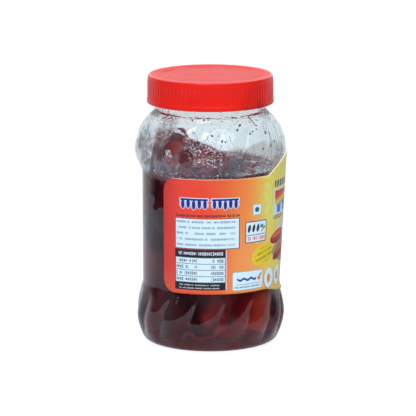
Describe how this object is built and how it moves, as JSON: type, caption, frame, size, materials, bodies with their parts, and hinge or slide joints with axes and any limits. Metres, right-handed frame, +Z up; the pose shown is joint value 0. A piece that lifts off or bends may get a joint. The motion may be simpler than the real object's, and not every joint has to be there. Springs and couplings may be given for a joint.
{
  "type": "shut jar of carrot preserve",
  "caption": "Clear round jar with twisted flutes, a ribbed red screw lid and a wrapped label, filled with chunks of candied carrot in dark red syrup.",
  "frame": {"origin": "middle of the jar's foot, on the surface it stands on", "axes": "+Z up along the jar's axis, -Y towards the label's back edge with the tables, +X towards the label's front"},
  "size_m": [0.1028, 0.1017, 0.1826],
  "materials": {
    "jar_plastic": "clear blow-moulded plastic, glossy, slightly cool",
    "lid_plastic": "moulded red plastic, softly glossy",
    "label_film": "printed glossy film, red to orange to yellow",
    "carrot": "candied carrot, wet and translucent, dark amber red",
    "syrup": "dark red sugar syrup, clear and glossy"
  },
  "bodies": {
    "root": {"jar": "jar_plastic", "lid": "lid_plastic", "label": "label_film", "carrots": "carrot"}
  },
  "joints": []
}
